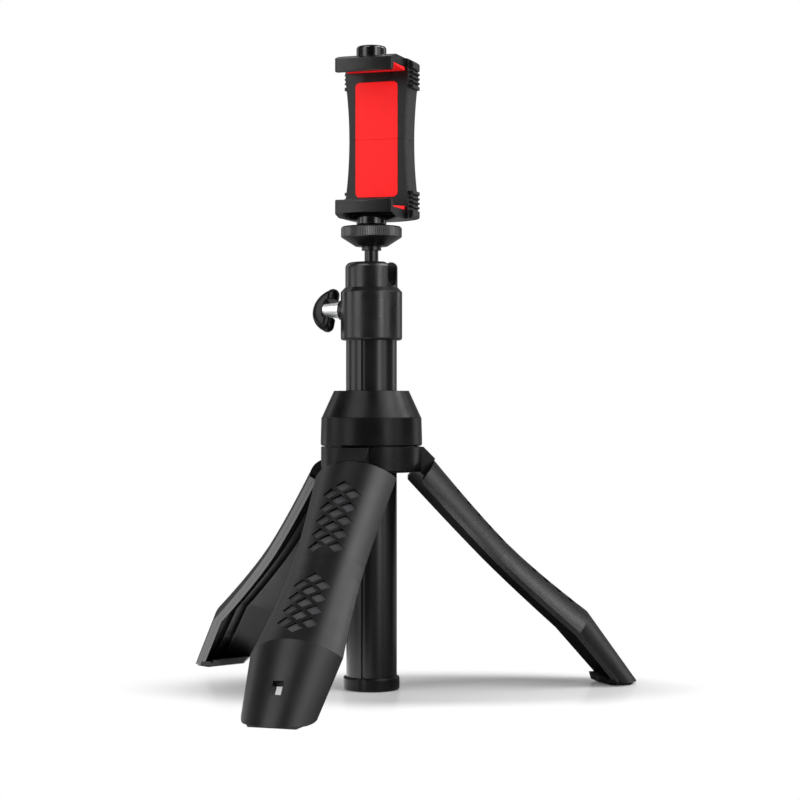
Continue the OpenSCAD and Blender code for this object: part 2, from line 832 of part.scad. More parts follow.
module clamp_screw()
    color("#e9ebed")
        along_screw() {
            translate([0, 0, tip_r])
                cylinder(r1 = run, r2 = screw_d / 2, h = screw_d / 2);
            translate([0, 0, tip_r + screw_d / 2 - seat])
                cylinder(d = screw_d, h = boss_out - tip_r);
            translate([0, 0, boss_out + gap])
                cylinder(d1 = shank_d, d2 = shank_end_d, h = wing_face - seat - boss_out - gap);
            translate([0, 0, wing_face - seat - lap])
                cylinder(d = spigot_d, h = spigot_len + lap);
        }

lobe_r = lobe_d / 2;
lobe_z = 20.9;          // the lobes, along the screw
wing_bow = bow_r(wing_len / 2, wing_end - lobe_z);
recess_corner = 2;
recess_half_w = shank_end_d / 2 + seat;

// The wing stands in the plane of X and Z, along the screw's axis Z
module screw_wing()
    color("#1a1a1c")
        along_screw()
            rotate([0, 0, wing_turn])
                difference() {
                    union() {
                        wing_bow_form();
                        wing_lobes();
                    }
                    wing_recess();
                    translate([0, 0, wing_face - cut])
                        cylinder(d = spigot_d + 2 * seat, h = cut + spigot_len + seat);
                }

// Part of a disc with a round rim
module wing_bow_form()
    intersection() {
        translate([0, 0, wing_end - wing_bow])
            rotate([90, 0, 0])
                rotate_extrude()
                    polygon(concat(
                        [for (a = [-90:15:90]) [
                            wing_bow - wing_t / 2 * (1 - cos(a)), wing_t / 2 * sin(a)]],
                        [[0, wing_t / 2], [0, -wing_t / 2]]));
        translate([-wing_len, -wing_len, lobe_z]) cube(2 * wing_len);
    }

// The two lobes, one round bar with round ends before the recess is cut
module wing_lobes()
    translate([0, 0, lobe_z])
        rotate([0, 90, 0])
            rotate_extrude()
                polygon(concat(
                    [for (a = [-90:15:0]) [
                        lobe_r * cos(a), lobe_r - wing_len / 2 + lobe_r * sin(a)]],
                    [for (a = [0:15:90]) [
                        lobe_r * cos(a), wing_len / 2 - lobe_r + lobe_r * sin(a)]]));

// Recess between the lobes, with round corners at its floor
module wing_recess()
    rotate([90, 0, 0])
        linear_extrude(2 * lobe_d, center = true)
            union() {
                translate([-recess_half_w, 0])
                    square([2 * recess_half_w, wing_face]);
                translate([-recess_half_w - recess_corner, 0])
                    square([2 * (recess_half_w + recess_corner), wing_face - recess_corner]);
                for (side = [-1, 1])
                    translate([side * recess_half_w, wing_face - recess_corner])
                        circle(r = recess_corner);
            }

// Outline of the body from the front, waisted, as a block to intersect
waist_bow = bow_r(grip_half, (end_w - waist_w) / 2);
module waisted(width, y0, y1)
    difference() {
        translate([-width / 2, y0, 0]) cube([width, y1 - y0, half_h]);
        for (side = [-1, 1])
            translate([side * (waist_w / 2 + waist_bow), y0 - cut, 0])
                rotate([-90, 0, 0])
                    cylinder(r = waist_bow, h = y1 - y0 + 2 * cut, $fn = 180);
    }

// Domed crown of the upper end, as a block to intersect
crown_bow = bow_r(jaw_reach + crown_y, crown_fall);
side_bow = bow_r(jaw_w / 2, crown_side_fall);
module crown()
    intersection() {
        translate([0, crown_y, half_h - crown_bow])
            rotate([0, 90, 0])
                cylinder(r = crown_bow, h = 2 * end_w, center = true, $fn = 180);
        translate([0, 0, half_h - side_bow])
            rotate([90, 0, 0])
                cylinder(r = side_bow, h = 4 * body_deep, center = true, $fn = 180);
        translate([-end_w, -2 * jaw_reach, split])
            cube([2 * end_w, 4 * body_deep, half_h]);
    }

// Jaw with its hooked lip, rounded at the front and under the lip
jaw_face_z = jaw_gap_z + pad_thick;
hook_z = jaw_gap_z - hook_deep;
lip_bow_r = bow_r(jaw_w / 2, lip_bow);
module jaw_block()
    difference() {
        intersection() {
            translate([-jaw_w / 2, 0, 0])
                rotate([90, 0, 90])
                    linear_extrude(jaw_w)
                        polygon([[-jaw_reach, hook_z], [-jaw_reach + lip_t, hook_z],
                            [-jaw_reach + lip_t, jaw_face_z], [plate_y + lap, jaw_face_z],
                            [plate_y + lap, half_h + cut], [-jaw_reach, half_h + cut]]);
            translate([0, lip_bow_r - jaw_reach, 0])
                cylinder(r = lip_bow_r, h = clamp_h, $fn = 180);
        }
        for (side = [0, 1])
            mirror([side, 0, 0]) {
                translate([-jaw_w / 2, -jaw_reach + lip_bow, hook_z])
                    corner_cutter(jaw_round, clamp_h);
                translate([-jaw_w / 2, -jaw_reach, hook_z])
                    rotate([90, 0, 0])
                        corner_cutter(jaw_round, 2 * (lip_t + seat));
            }
        translate([0, -jaw_reach, hook_z])
            rotate([90, 0, 90])
                corner_cutter(jaw_round, 2 * jaw_w);
    }

module rod_bores(d, z, h)
    for (side = [-1, 1])
        translate([side * rod_x, rod_y, z]) cylinder(d = d, h = h);

module spring_bores()
    for (side = [-1, 1]) {
        translate([side * spring_x, rod_y, -cut])
            cylinder(d = spring_hole_d, h = lug_h + 2 * cut);
        translate([side * spring_x, rod_y, end_lug_z - cut])
            cylinder(d = spring_hole_d, h = cut + spring_well);
    }

// One half of the frame, drawn as the upper one
module half_frame()
    difference() {
        union() {
            intersection() {
                union() {
                    jaw_block();
                    waisted(end_w, plate_y, plate_y + plate_t);
                }
                crown();
            }
            translate([-lug_half_w, plate_y + plate_t - lap, split])
                cube([2 * lug_half_w, lug_deep + lap, lug_h]);
            translate([-lug_half_w, plate_y + plate_t - lap, end_lug_z])
                cube([2 * lug_half_w, lug_deep + lap, end_lug_h]);
        }
        panel_form(seat, panel_proud + cut);
        spring_bores();
        translate([0, 0, half_h - boss_in])
            cylinder(d = boss_d + 2 * seat, h = clamp_h);
        cover_screw_bores();
    }

module cover_screw_bores()
    for (side = [-1, 1])
        translate([side * cover_screw_x, back_y - cover_screw_len, cover_screw_z])
            rotate([-90, 0, 0])
                cylinder(d = cover_screw_d, h = cover_screw_len + cut);

// Half of the coloured panel, grown by a clearance and standing out
module panel_form(grow, proud)
    translate([0, plate_y - proud, split])
        difference() {
            translate([-panel_w / 2 - grow, 0, -2 * split])
                cube([panel_w + 2 * grow, panel_t - panel_proud + proud + grow,
                    panel_h / 2 + grow + split]);
            for (side = [-1, 1])
                translate([side * (panel_w / 2 + grow), 0, panel_h / 2 + grow - split])
                    rotate([90, 0, 0])
                        mirror([side > 0 ? 1 : 0, 0, 0])
                            mirror([0, 1, 0])
                                corner_cutter(panel_round, far);
        }

module half_panel()
    intersection() {
        panel_form(0, panel_proud);
        translate([-panel_w, -panel_w, split]) cube([2 * panel_w, far, half_h]);
    }

module half_pad()
    translate([-jaw_w / 2 + run, 0, 0])
        rotate([90, 0, 90])
            linear_extrude(jaw_w - 2 * run)
                polygon([[-jaw_reach + lip_t + gap, jaw_face_z - pad_thin],
                    [plate_y - panel_proud - seat, jaw_gap_z],
                    [plate_y - panel_proud - seat, jaw_face_z - seat],
                    [-jaw_reach + lip_t + gap, jaw_face_z - seat]]);

// Groove between two ribs, opening towards -X
module rib_groove()
    rotate([-90, 0, 0])
        linear_extrude(2 * body_deep)
            polygon([[-cut, -rib_mouth / 2], [0, -rib_mouth / 2],
                [rib_deep, -rib_floor / 2], [rib_deep, rib_floor / 2],
                [0, rib_mouth / 2], [-cut, rib_mouth / 2]]);

// Height of the crown where the rounding of a shoulder begins
shoulder_x = rib_w / 2 - end_round;
shoulder_z = half_h - side_bow + sqrt(side_bow * side_bow - shoulder_x * shoulder_x);

// One half of the back cover: a shell with grip ribs round its end
module half_back()
    difference() {
        intersection() {
            union() {
                waisted(end_w, cover_y, back_y);
                translate([-rib_w / 2, cover_y, rib_first_z - rib_pitch])
                    cube([rib_w, body_deep, half_h]);
            }
            crown();
            translate([-far / 2, 0, 0]) cube([far, back_y, far]);
        }
        for (side = [-1, 1])
            translate([side * rib_w / 2, back_y, 0])
                mirror([side > 0 ? 1 : 0, 0, 0])
                    mirror([0, 1, 0])
                        corner_cutter(body_corner, 3 * clamp_h);
        translate([0, back_y, half_h - crown_side_fall])
            rotate([0, 90, 0])
                mirror([0, 1, 0])
                    corner_cutter(end_corner, far);
        for (side = [0, 1])
            mirror([side, 0, 0]) {
                for (k = [0:rib_count - 1])
                    translate([-rib_w / 2, cover_y - cut, rib_first_z + k * rib_pitch])
                        rib_groove();
                translate([-rib_w / 2, cover_y, shoulder_z])
                    rotate([-90, 0, 0])
                        corner_cutter(end_round, 3 * body_deep);
            }
        translate([-waist_w / 2 + back_wall, cover_y - cut, -cut])
            cube([waist_w - 2 * back_wall, back_y - back_wall - cover_y + cut,
                end_lug_z + cut - run]);
        translate([-lug_half_w - run, cover_y - cut, end_lug_z - run - lap])
            cube([2 * lug_half_w + 2 * run, lug_deep + run + cut, end_lug_h + 2 * run + lap]);
        translate([0, 0, half_h - boss_in])
            cylinder(d = boss_d + 2 * seat, h = clamp_h);
        cover_screw_bores();
        for (side = [-1, 1])
            translate([side * cover_screw_x, back_y - cover_head_h, cover_screw_z])
                rotate([-90, 0, 0])
                    cylinder(d = cover_head_d + 2 * seat, h = cover_screw_len);
    }

module half_screws()
    for (side = [-1, 1])
        translate([side * cover_screw_x, back_y, cover_screw_z])
            rotate([90, 0, 0]) {
                cylinder(d = cover_head_d, h = cover_head_h);
                cylinder(d = cover_screw_d, h = cover_screw_len);
            }

// Boss with a camera thread, its mouth at height out above the crown
boss_edge = 1.4;
boss_thread_deep = 7.2;
module boss(out)
    difference() {
        translate([0, 0, half_h - boss_in])
            cylinder(d = boss_d, h = boss_in + out - boss_edge);
        translate([0, 0, half_h + out - boss_thread_deep])
            cylinder(d = thread_hole_d, h = boss_thread_deep + cut);
    }

module boss_rim(out)
    translate([0, 0, half_h + out])
        rotate_extrude()
            polygon(concat(
                [[thread_hole_d / 2, 0], [thread_hole_d / 2, -boss_edge - lap],
                    [boss_d / 2, -boss_edge - lap]],
                [for (a = [0:15:90]) [
                    boss_d / 2 - boss_edge * (1 - cos(a)), -boss_edge * (1 - sin(a))]]));

module in_clamp() translate([0, 0, clamp_mid_z]) children();
module in_lower() in_clamp() mirror([0, 0, 1]) children();

module upper_frame()
    color("#242426")
        in_clamp()
            difference() {
                half_frame();
                rod_bores(rod_d + 2 * run, -cut, cut + rod_top_z + gap);
                hook_pin_form(hook_pin_z, seat);
            }

module lower_frame()
    color("#242426")
        in_lower()
            difference() {
                half_frame();
                rod_bores(rod_d, -cut, lug_h + 2 * cut);
                rod_bores(rod_d, end_lug_z - cut, rod_foot_z - end_lug_z + cut);
                hook_pin_form(hook_pin_foot_z, seat);
            }

module hook_pin_form(z, grow)
    translate([0, rod_y, z])
        rotate([0, 90, 0])
            cylinder(d = hook_pin_d + 2 * grow, h = hook_pin_len + 2 * grow, center = true);

module upper_spring_pin() color("#c4c7ca") in_clamp() hook_pin_form(hook_pin_z, 0);
module lower_spring_pin() color("#c4c7ca") in_lower() hook_pin_form(hook_pin_foot_z, 0);

spring_top_z = hook_pin_z - hook_pin_d / 2 - run;
spring_foot_z = hook_pin_foot_z - hook_pin_d / 2 - run;
module clamp_springs()
    color("#9a9da1")
        in_clamp()
            for (side = [-1, 1])
                translate([side * spring_x, rod_y, -spring_foot_z])
                    difference() {
                        cylinder(d = spring_d, h = spring_top_z + spring_foot_z);
                        translate([0, 0, -cut])
                            cylinder(d = spring_d - 4 * spring_wire,
                                h = spring_top_z + spring_foot_z + 2 * cut);
                    }

module guide_rods()
    color("#cfd2d5")
        in_clamp() rod_bores(rod_d, -rod_foot_z, rod_foot_z + rod_top_z);

module upper_back()
    color("#2b2b2d")
        in_clamp()
            difference() {
                half_back();
                rod_bores(rod_d + 2 * gap, -cut, cut + rod_top_z + gap);
            }

module lower_back() color("#2b2b2d") in_lower() half_back();
module upper_panel() color("#f4141c") in_clamp() half_panel();
module lower_panel() color("#f4141c") in_lower() half_panel();
module upper_pad() color("#e8141a") in_clamp() half_pad();
module lower_pad() color("#e8141a") in_lower() half_pad();
module upper_screws() color("#8d9094") in_clamp() half_screws();
module lower_screws() color("#8d9094") in_lower() half_screws();

module upper_boss() color("#0e0e10") in_clamp() { boss(boss_rise); boss_rim(boss_rise); }
module lower_boss() color("#0e0e10") in_lower() { boss(neck_h); boss_rim(neck_h); }

leg_cover(leg_angles[0]);  // leg_cover_front
leg_cover(leg_angles[1]);  // leg_cover_right
leg_cover(leg_angles[2]);  // leg_cover_left
leg_frame(leg_angles[0]);  // leg_frame_front
leg_frame(leg_angles[1]);  // leg_frame_right
leg_frame(leg_angles[2]);  // leg_frame_left
foot_pad(leg_angles[0]);  // foot_pad_front
foot_pad(leg_angles[1]);  // foot_pad_right
foot_pad(leg_angles[2]);  // foot_pad_left
hinge_pins();
hub_body();
pin_keepers();
keeper_screws();
grip_collet();
lock_collar();
column_tube();
column_foot();
head_sleeve();
sleeve_ring();
head_socket();
ball_cup();
lift_plug();
ball_stud();
lock_wheel();
clamp_screw();
screw_wing();
lower_frame();
lower_back();
lower_panel();
lower_pad();
lower_boss();
lower_screws();
lower_spring_pin();
guide_rods();
clamp_springs();
upper_frame();
upper_back();
upper_panel();
upper_pad();
upper_boss();
upper_screws();
upper_spring_pin();
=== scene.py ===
"""Phone tripod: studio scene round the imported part, with its finishes and fine pieces."""

import functools
import logging
import math
from dataclasses import dataclass
from enum import Enum
from typing import ClassVar

import bmesh
import bpy
from mathutils import Matrix, Vector


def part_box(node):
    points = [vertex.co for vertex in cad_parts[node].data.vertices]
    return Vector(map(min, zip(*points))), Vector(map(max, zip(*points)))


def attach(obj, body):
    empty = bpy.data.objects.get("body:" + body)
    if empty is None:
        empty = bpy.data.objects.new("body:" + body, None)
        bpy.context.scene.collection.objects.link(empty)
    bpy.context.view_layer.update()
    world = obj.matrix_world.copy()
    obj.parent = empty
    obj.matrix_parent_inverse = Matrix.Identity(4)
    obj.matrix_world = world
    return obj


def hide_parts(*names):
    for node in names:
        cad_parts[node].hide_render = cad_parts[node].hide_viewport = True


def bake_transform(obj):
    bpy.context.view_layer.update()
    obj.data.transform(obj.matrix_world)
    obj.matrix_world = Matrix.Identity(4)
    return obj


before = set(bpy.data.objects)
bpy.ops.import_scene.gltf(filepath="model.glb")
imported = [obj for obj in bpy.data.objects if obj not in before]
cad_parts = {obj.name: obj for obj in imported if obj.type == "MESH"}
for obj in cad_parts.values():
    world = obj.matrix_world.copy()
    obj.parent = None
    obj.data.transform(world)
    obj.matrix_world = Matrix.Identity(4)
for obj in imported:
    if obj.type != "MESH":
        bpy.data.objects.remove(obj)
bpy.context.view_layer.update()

MM = 0.001
# Span of values in which nearly all of a noise texture lies
NOISE_SPAN = (0.3, 0.7)
log = logging.getLogger("tripod")


class Half(Enum):
    """The two halves of the phone clamp and the body that each rides on."""

    UPPER = "upper"
    LOWER = "lower"

    @property
    def body(self) -> str:
        """Name of the moving body that carries this half."""
        return "clamp_" + self.value


def linear(code: str) -> tuple[float, float, float, float]:
    """Turns an sRGB hex colour into linear light.

    Args:
        code: Colour such as "#1d1d1f".

    Returns:
        Red, green, blue and an alpha of one.
    """
    shares = [int(code[i : i + 2], 16) / 255 for i in (1, 3, 5)]
    red, green, blue = [s / 12.92 if s <= 0.04045 else ((s + 0.055) / 1.055) ** 2.4 for s in shares]
    return red, green, blue, 1.0


def add_node(
    material: bpy.types.Material | bpy.types.World,
    kind: str,
    settings: dict[str, object] | None = None,
    inputs: dict[str | int, object] | None = None,
) -> bpy.types.Node:
    """Adds a shader node with its settings, and sets or links its inputs.

    Args:
        material: Material, or world, whose tree gets the node.
        kind: Blender's name of the node type.
        settings: Attributes of the node.
        inputs: Input names or places with a value, or an output socket to link from.

    Returns:
        The new node.
    """
    node = material.node_tree.nodes.new(kind)
    for name, value in (settings or {}).items():
        setattr(node, name, value)
    for name, value in (inputs or {}).items():
        if isinstance(value, bpy.types.NodeSocket):
            material.node_tree.links.new(value, node.inputs[name])
        else:
            node.inputs[name].default_value = value
    return node


def new_material(name: str) -> bpy.types.Material:
    """Makes an empty node material.

    Args:
        name: The real material's name.

    Returns:
        The material, with no nodes in its tree.
    """
    material = bpy.data.materials.new(name)
    material.use_nodes = True
    material.node_tree.nodes.clear()
    return material


def ray_kinds(
    material: bpy.types.Material | bpy.types.World,
) -> tuple[bpy.types.NodeSocket, bpy.types.NodeSocket]:
    """Tells the camera's own rays, and those that gloss or a clear material sends on, from the rest.

    Args:
        material: Material, or world, whose tree gets the nodes.

    Returns:
        One for a ray of the camera, and one for a ray off gloss or through a clear material.
    """
    path = add_node(material, "ShaderNodeLightPath")
    shiny = add_node(
        material,
        "ShaderNodeMath",
        {"operation": "MAXIMUM"},
        {0: path.outputs["Is Glossy Ray"], 1: path.outputs["Is Transmission Ray"]},
    )
    return path.outputs["Is Camera Ray"], shiny.outputs["Value"]


def per_metre(size_mm: float) -> float:
    """Works out the scale of a noise texture on object coordinates.

    Args:
        size_mm: Size of a grain in millimetres.

    Returns:
        Grains to the metre.
    """
    return 1 / (size_mm * MM)


@dataclass(frozen=True)
class Finish:
    """A surface with a grain, a slight change of shade and a small rounding of its edges.

    Attributes:
        name: The real material's name.
        colour: Its sRGB hex colour.
        roughness: Middle roughness.
        metallic: One for bare metal.
        specular: Specular level.
        grain_mm: Size of the moulded or sprayed grain, drawn coarser than life so that it can show.
        grain_height_mm: Height of that grain.
        shade_share: Share by which the colour varies from patch to patch.
        gloss_share: Share by which the roughness varies from patch to patch.
        edge_mm: Rounding that the edges show.
        drawn: Whether the patches and the grain are drawn out upwards.
    """

    name: str
    colour: str
    roughness: float
    metallic: float = 0.0
    specular: float = 0.5
    grain_mm: float = 0.35
    grain_height_mm: float = 0.02
    shade_share: float = 0.12
    gloss_share: float = 0.12
    edge_mm: float = 0.25
    drawn: bool = False

    # Sizes that all finishes share
    patch_mm: ClassVar[float] = 9.0
    patch_detail: ClassVar[float] = 1.0
    grain_detail: ClassVar[float] = 2.0
    drawn_stretch: ClassVar[tuple[float, float, float]] = (1.0, 1.0, 0.04)
    edge_samples: ClassVar[int] = 4

    @functools.cache
    def material(self) -> bpy.types.Material:
        """Builds the material once, on object coordinates.

        Returns:
            The material, the same one at each call.
        """
        made = new_material(self.name)
        place = add_node(made, "ShaderNodeTexCoord").outputs["Object"]
        if self.drawn:
            drawn = add_node(made, "ShaderNodeMapping", {}, {"Vector": place, "Scale": self.drawn_stretch})
            place = drawn.outputs["Vector"]
        patches = add_node(
            made,
            "ShaderNodeTexNoise",
            {},
            {"Vector": place, "Scale": per_metre(self.patch_mm), "Detail": self.patch_detail},
        )
        grain = add_node(
            made,
            "ShaderNodeTexNoise",
            {},
            {"Vector": place, "Scale": per_metre(self.grain_mm), "Detail": self.grain_detail},
        )
        shade = add_node(made, "ShaderNodeValToRGB", {}, {"Fac": patches.outputs["Fac"]})
        red, green, blue, alpha = linear(self.colour)
        for stop, position, share in zip(
            shade.color_ramp.elements, NOISE_SPAN, (1 - self.shade_share, 1 + self.shade_share)
        ):
            stop.position = position
            stop.color = (min(1.0, red * share), min(1.0, green * share), min(1.0, blue * share), alpha)
        gloss = add_node(
            made,
            "ShaderNodeMapRange",
            {},
            {
                "Value": patches.outputs["Fac"],
                "From Min": NOISE_SPAN[0],
                "From Max": NOISE_SPAN[1],
                "To Min": self.roughness * (1 - self.gloss_share),
                "To Max": self.roughness * (1 + self.gloss_share),
            },
        )
        rounded = add_node(
            made, "ShaderNodeBevel", {"samples": self.edge_samples}, {"Radius": self.edge_mm * MM}
        )
        bump = add_node(
            made,
            "ShaderNodeBump",
            {},
            {
                "Height": grain.outputs["Fac"],
                "Distance": self.grain_height_mm * MM,
                "Normal": rounded.outputs["Normal"],
            },
        )
        body = add_node(
            made,
            "ShaderNodeBsdfPrincipled",
            {},
            {
                "Base Color": shade.outputs["Color"],
                "Roughness": gloss.outputs["Result"],
                "Metallic": self.metallic,
                "Specular IOR Level": self.specular,
                "Normal": bump.outputs["Normal"],
            },
        )
        add_node(made, "ShaderNodeOutputMaterial", {}, {"Surface": body.outputs["BSDF"]})
        return made


# Glass filled nylon of the legs, moulded satin: dark, with broad soft lights and a grain too fine to see
LEG_NYLON = Finish(
    "moulded nylon leg",
    "#0c0c0d",
    0.38,
    specular=0.27,
    grain_mm=0.3,
    grain_height_mm=0.0004,
    gloss_share=0.04,
)
# Upward floors of the diamond pockets, the same nylon painted pale: painted light, which makes them stand out
# from the dark cover
POCKET_PAINTED_LIGHT = Finish(
    "nylon pocket painted lit", "#3a3a3c", 0.34, specular=0.5, grain_height_mm=0.004, gloss_share=0.05
)
# Inner frame of a leg, moulded plain: a little rougher and paler than the cover
FRAME_NYLON = Finish(
    "moulded nylon frame", "#111112", 0.4, specular=0.24, grain_mm=0.5, grain_height_mm=0.012
)
# Long faces along both sides of a leg, that look down at a slant: paler, a painted light from the floor
# below, with a clear sheen off the floor
RIM_PAINTED_LIGHT = Finish("nylon rim painted lit", "#2a2a2b", 0.3, specular=1.0, grain_height_mm=0.004, gloss_share=0.05)
# Thermoplastic rubber under the feet: dull and soft at its edges
FOOT_RUBBER = Finish("foot rubber", "#0e0e0e", 0.7, specular=0.25, edge_mm=0.4)
# Hub, collar and foot cap, moulded ABS with a satin skin
HUB_ABS = Finish("satin ABS", "#0a0a0b", 0.34, specular=0.17, grain_mm=0.4, grain_height_mm=0.008)
# Aluminium tube under satin black anodising: faint streaks along it, from drawing
COLUMN_ANODISED = Finish(
    "black anodised tube", "#0c0c0d", 0.26, specular=0.42, grain_mm=0.3, grain_height_mm=0.004, drawn=True
)
# Turned aluminium under black enamel: satin, with long soft lights
HEAD_ENAMEL = Finish(
    "black enamelled metal", "#0e0e0f", 0.3, specular=0.52, grain_mm=0.3, grain_height_mm=0.004
)
# Enamel on the crests of the knurl: paler, a painted highlight, with a sparkle from ridge to ridge
KNURL_PAINTED_HIGHLIGHT = Finish("black enamel painted highlight", "#262627", 0.32, specular=1.0, grain_height_mm=0.002, edge_mm=0.05)
# Satin chrome plate on the shank of the winged screw: white, with soft grey where a mirror would be dark
SHANK_CHROME = Finish(
    "satin chrome plate", "#eef0f2", 0.3, metallic=0.45, grain_height_mm=0.002, shade_share=0.03, edge_mm=0.15
)
# Wing of the screw, moulded ABS: nearly black, its edges well rounded
WING_ABS = Finish("wing ABS", "#080809", 0.3, specular=0.18, grain_height_mm=0.006, edge_mm=0.6)
# Body of the clamp, glass filled nylon moulded semi gloss: dark fronts with a light that fades along them
CLAMP_NYLON = Finish(
    "moulded nylon clamp", "#0c0c0d", 0.28, specular=0.4, grain_mm=0.5, grain_height_mm=0.008
)
# Back covers of the clamp, nylon with more sheen: their sides catch more light
COVER_NYLON = Finish("moulded nylon cover", "#141414", 0.4, specular=0.52, grain_mm=0.4, grain_height_mm=0.01)
# Soft touch lacquer over the red panel: strong and even, with hardly a highlight
PANEL_RED = Finish(
    "red soft lacquer",
    "#f80c10",
    0.42,
    specular=0.3,
    grain_mm=0.6,
    grain_height_mm=0.008,
    shade_share=0.03,
    edge_mm=0.35,
)
# Red thermoplastic rubber of the jaw pads: a little darker than the panel, and dull
PAD_RED = Finish(
    "red rubber", "#ef1117", 0.6, specular=0.25, grain_mm=0.5, grain_height_mm=0.02, shade_share=0.05
)
# Polished ABS of the bosses: black with bright upright lights
BOSS_GLOSS = Finish("polished black ABS", "#060607", 0.22, specular=0.7, grain_height_mm=0.001, edge_mm=0.3)
# Plain machined aluminium of the plug inside the head: pale grey, streaked
PLUG_ALUMINIUM = Finish("turned aluminium", "#a9acb0", 0.35, metallic=1.0, drawn=True)
# Slick acetal of the ball cup and the collet: off white, even
LINER_ACETAL = Finish("natural acetal", "#dcd9cf", 0.4, shade_share=0.03)
# Steel plates over the hinge pins, blackened in hot oil: black with a dull sheen
KEEPER_BLACK = Finish("blackened steel", "#0d0d0e", 0.4, specular=0.4, grain_height_mm=0.006)
# Drawn steel rod, wire and screws: bright and plain
DRAWN_STEEL = Finish("drawn steel", "#b9bcc0", 0.28, metallic=1.0, grain_height_mm=0.003, shade_share=0.06)


class Piece:
    """A modelled piece: a bmesh that becomes an object of its own."""

    def __init__(self, name: str) -> None:
        """Starts an empty mesh.

        Args:
            name: Name of the piece.
        """
        self.name = name
        self.mesh = bmesh.new()

    def finish(
        self,
        finish: Finish,
        slot: str,
        body: str | None = None,
        replaces: tuple[str, ...] = (),
        smooth_deg: float = 180.0,
    ) -> bpy.types.Object:
        """Turns the bmesh into an object with its finish and its ride.

        Args:
            finish: Surface of the piece.
            slot: Material slot of the record; not used.
            body: Body of the part that it moves with, or none for a piece that is tied to no body.
            replaces: Nodes of the part that it stands for.
            smooth_deg: Edges sharper than this angle stay sharp.

        Returns:
            The new object.
        """
        bmesh.ops.recalc_face_normals(self.mesh, faces=self.mesh.faces)
        for face in self.mesh.faces:
            face.smooth = True
        for edge in self.mesh.edges:
            sharp = len(edge.link_faces) == 2 and edge.calc_face_angle(0) > math.radians(smooth_deg)
            edge.smooth = not sharp
        data = bpy.data.meshes.new(self.name)
        self.mesh.to_mesh(data)
        self.mesh.free()
        data.materials.append(finish.material())
        made = bpy.data.objects.new(self.name, data)
        bpy.context.scene.collection.objects.link(made)
        if body:
            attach(made, body)
        if replaces:
            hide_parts(*replaces)
        log.info("piece %s, %d faces", self.name, len(data.polygons))
        return made


@dataclass(frozen=True)
class SoftBox:
    """A soft light box that faces the part.

    Attributes:
        name: Name of the lamp.
        turn_deg: Direction from the part, 0 at the camera and positive to its right.
        away: Distance from the column.
        height: Height over the floor.
        size: Width and height of the box.
        watts: Its power.
    """

    name: str
    turn_deg: float
    away: float
    height: float
    size: tuple[float, float]
    watts: float

    def hang(self, camera_turn: float, aim: tuple[float, float, float]) -> None:
        """Puts the box into the scene.

        Args:
            camera_turn: Direction of the camera from the part, in radians.
            aim: The place that the box faces.
        """
        turn = camera_turn + math.radians(self.turn_deg)
        data = bpy.data.lights.new(self.name, "AREA")
        data.shape = "RECTANGLE"
        data.size, data.size_y = self.size
        data.energy = self.watts
        box = bpy.data.objects.new(self.name, data)
        box.location = (self.away * math.sin(turn), -self.away * math.cos(turn), self.height)
        box.rotation_euler = (Vector(aim) - box.location).to_track_quat("-Z", "Y").to_euler()
        bpy.context.scene.collection.objects.link(box)


# Upright boxes draw the long lights down the tube and the head, the upper ones light the slanting legs and
# the collar, and those behind the part give its dark sides an edge
LAMPS = (
    SoftBox("left box", -53, 0.9, 0.4, (0.46, 0.9), 3.1),
    SoftBox("low left fill", -90, 0.9, 0.2, (0.36, 0.4), 0.9),
    SoftBox("right box", 38, 0.9, 0.5, (0.28, 1.2), 4.4),
    SoftBox("right fill", 62, 0.9, 0.5, (0.28, 1.2), 2.0),
    SoftBox("upper right box", 70, 0.8, 1.15, (0.6, 0.6), 8.8),
    SoftBox("upper left box", -45, 0.8, 1.15, (0.8, 0.5), 5.6),
    SoftBox("rear box", 180, 0.9, 1.4, (1.0, 1.0), 2.6),
    SoftBox("high right box", 99, 0.9, 0.76, (0.3, 0.34), 3.2),
    SoftBox("right rim strip", 122, 0.9, 0.3, (0.2, 0.6), 0.7),
    SoftBox("left rim strip", -130, 0.9, 0.45, (0.2, 1.0), 0.9),
)


@dataclass(frozen=True)
class Camera:
    """The photograph's camera: level, its place and lens fitted to the part's outline.

    Attributes:
        turn_deg: Direction from the part, from straight in front towards its right leg.
        away: Distance from the column.
        aside: Shift to the camera's right.
        height: Height over the floor.
        focal_px: Focal length in pixels of the photograph.
        frame_px: Width of the photograph in pixels.
        sensor_mm: Width of the sensor.
        clip: Nearest and farthest distance that shows.
    """

    turn_deg: float = 18.7
    away: float = 0.986
    aside: float = 0.0136
    height: float = 0.1376
    focal_px: float = 2070.0
    frame_px: float = 800.0
    sensor_mm: float = 36.0
    clip: tuple[float, float] = (0.01, 50.0)

    @property
    def turn(self) -> float:
        """Direction of the camera from the part, in radians."""
        return math.radians(self.turn_deg)

    @property
    def right(self) -> Vector:
        """Level direction to the camera's right."""
        return Vector((math.cos(self.turn), math.sin(self.turn), 0.0))

    @property
    def ahead(self) -> Vector:
        """Level direction in which the camera looks."""
        return Vector((-math.sin(self.turn), math.cos(self.turn), 0.0))

    def build(self) -> None:
        """Puts the camera into the scene and looks through it."""
        data = bpy.data.cameras.new("camera")
        data.sensor_width = self.sensor_mm
        data.lens = self.focal_px / self.frame_px * self.sensor_mm
        data.clip_start, data.clip_end = self.clip
        made = bpy.data.objects.new("camera", data)
        made.location = self.right * self.aside - self.ahead * self.away + Vector((0, 0, self.height))
        made.rotation_euler = self.ahead.to_track_quat("-Z", "Y").to_euler()
        bpy.context.scene.collection.objects.link(made)
        bpy.context.scene.camera = made


